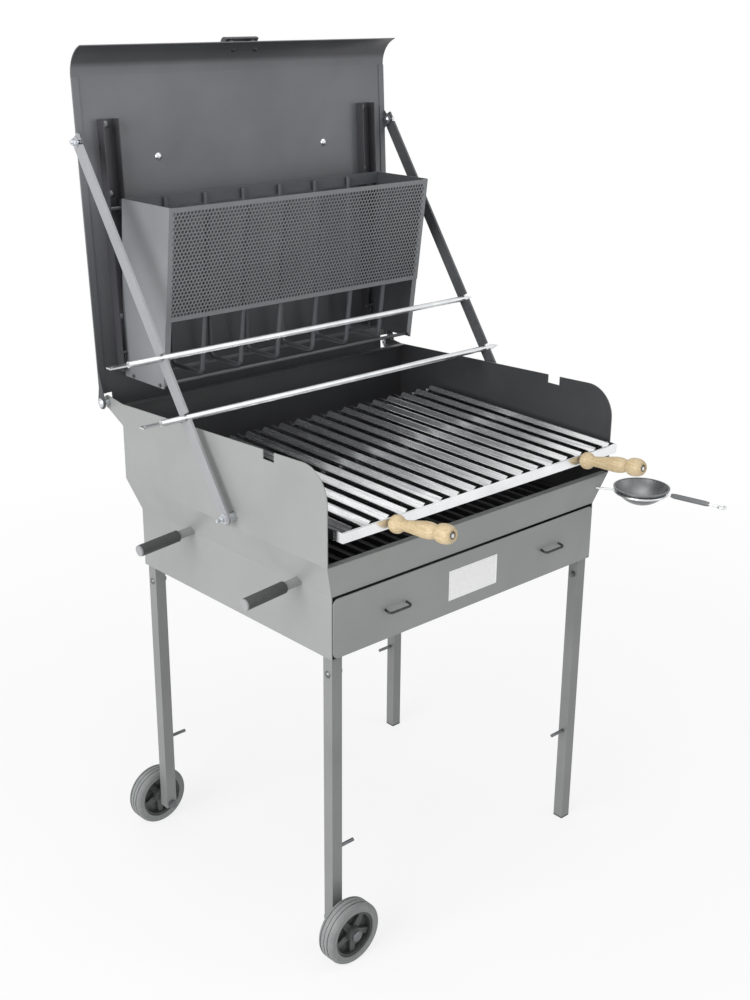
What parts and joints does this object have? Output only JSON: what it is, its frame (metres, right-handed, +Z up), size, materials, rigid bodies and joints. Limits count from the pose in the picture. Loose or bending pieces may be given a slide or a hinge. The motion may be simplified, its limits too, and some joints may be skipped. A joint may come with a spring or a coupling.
{
  "type": "charcoal barbecue",
  "caption": "Charcoal barbecue on square legs with wheels: sheet firebox, drip grill, ash drawer, hinged lid with upright fire basket, stays holding skewers, and fat pan.",
  "frame": {"origin": "on the floor, below the middle of the whole outline seen from above", "axes": "+X to the right as seen from the front, +Y to the rear, +Z up"},
  "size_m": [0.8252, 0.8116, 1.3884],
  "materials": {
    "paint_silver": "satin",
    "paint_dark": "satin",
    "paint_rail": "satin",
    "leg_paint": "satin",
    "zinc": "polished",
    "dull_zinc": "satin",
    "basket_steel": "satin",
    "rod_steel": "satin",
    "grill_steel": "polished",
    "stay_steel": "satin",
    "cast_grate": "matte",
    "beech": "oiled",
    "black_plastic": "matte",
    "cap_plastic": "satin",
    "grip_rubber": "matte",
    "tyre_rubber": "matte",
    "plate_white": "satin",
    "pan_steel": "satin"
  },
  "bodies": {
    "stand": {"side_panel_left": "paint_silver", "side_panel_right": "paint_silver", "rear_wall": "paint_dark", "front_apron": "paint_silver", "floor_plate": "paint_dark", "leg_stubs": "paint_dark", "leg_front_left": "leg_paint", "leg_front_right": "leg_paint", "leg_rear_left": "leg_paint", "leg_rear_right": "leg_paint", "leg_bolts": "dull_zinc", "leg_plugs": "black_plastic", "shelf_pegs": "dull_zinc", "grill_ledges": "paint_dark", "grate_ledge": "paint_dark", "hinge_bolts": "zinc", "stay_left": "stay_steel", "stay_right": "stay_steel", "stay_bolts": "zinc", "grip_tubes": "paint_silver", "side_grip_front": "grip_rubber", "side_grip_rear": "grip_rubber", "grip_caps": "cap_plastic", "axle_bolts": "zinc", "pan_holder": "zinc"},
    "lid": {"lid_shell": "paint_dark", "lid_handle": "black_plastic", "lid_handle_screws": "zinc", "lid_rails": "paint_rail", "rail_bolts": "dull_zinc", "hanger_pins": "dull_zinc", "lid_studs": "zinc", "lid_face_screws": "zinc"},
    "basket": {"basket_side_left": "basket_steel", "basket_side_right": "basket_steel", "basket_rods": "rod_steel", "basket_tie_rods": "rod_steel", "basket_rear_rail": "rod_steel", "basket_front_sheet": "basket_steel"},
    "drawer": {"drawer_front": "paint_silver", "drawer_tray": "paint_dark", "drawer_bows": "dull_zinc", "blank_plate": "plate_white"},
    "grill": {"grill_gutter": "grill_steel", "grill_bars": "grill_steel", "grill_frame": "grill_steel", "grill_handle_rods": "zinc", "wood_handle_left": "beech", "wood_handle_right": "beech", "handle_nuts": "dull_zinc"},
    "grate": {"charcoal_grate": "cast_grate"},
    "skewer_high": {"skewer_upper": "zinc"},
    "skewer_low": {"skewer_lower": "zinc"},
    "wheel_front": {"tyre_front": "tyre_rubber", "hub_front": "black_plastic"},
    "wheel_rear": {"tyre_rear": "tyre_rubber", "hub_rear": "black_plastic"},
    "pan": {"pan_bowl": "pan_steel", "pan_handle": "zinc", "pan_grip": "cap_plastic"}
  },
  "joints": [
    {"name": "lid_hinge", "type": "hinge", "parent": "stand", "child": "lid", "pos_m": [0.0204, 0.36499, 0.813], "axis": [1, 0, 0], "range_deg": [0, 18]},
    {"name": "basket_lift", "type": "slide", "parent": "lid", "child": "basket", "axis": [0, -0.342, 0.9397], "range_m": [0, 0.3]},
    {"name": "drawer_slide", "type": "slide", "parent": "stand", "child": "drawer", "axis": [0, -1, 0], "range_m": [0, 0.4]},
    {"name": "grill_slide", "type": "slide", "parent": "stand", "child": "grill", "axis": [0, -0.9997, -0.0253], "range_m": [0, 0.3]},
    {"name": "grate_lift", "type": "slide", "parent": "stand", "child": "grate", "axis": [0, 0, 1], "range_m": [0, 0.05]},
    {"name": "upper_skewer_turn", "type": "hinge", "parent": "stand", "child": "skewer_high", "pos_m": [0.0204, 0.1725, 0.92828], "axis": [1, 0, 0], "continuous": true},
    {"name": "lower_skewer_turn", "type": "hinge", "parent": "stand", "child": "skewer_low", "pos_m": [0.0204, 0.11561, 0.84482], "axis": [1, 0, 0], "continuous": true},
    {"name": "front_wheel_turn", "type": "hinge", "parent": "stand", "child": "wheel_front", "pos_m": [-0.2656, -0.20761, 0.053], "axis": [0, 1, 0], "continuous": true},
    {"name": "rear_wheel_turn", "type": "hinge", "parent": "stand", "child": "wheel_rear", "pos_m": [-0.2656, 0.33159, 0.053], "axis": [0, 1, 0], "continuous": true},
    {"name": "pan_lift", "type": "slide", "parent": "stand", "child": "pan", "axis": [0.3536, -0.3536, 0.866], "range_m": [0, 0.12]}
  ]
}
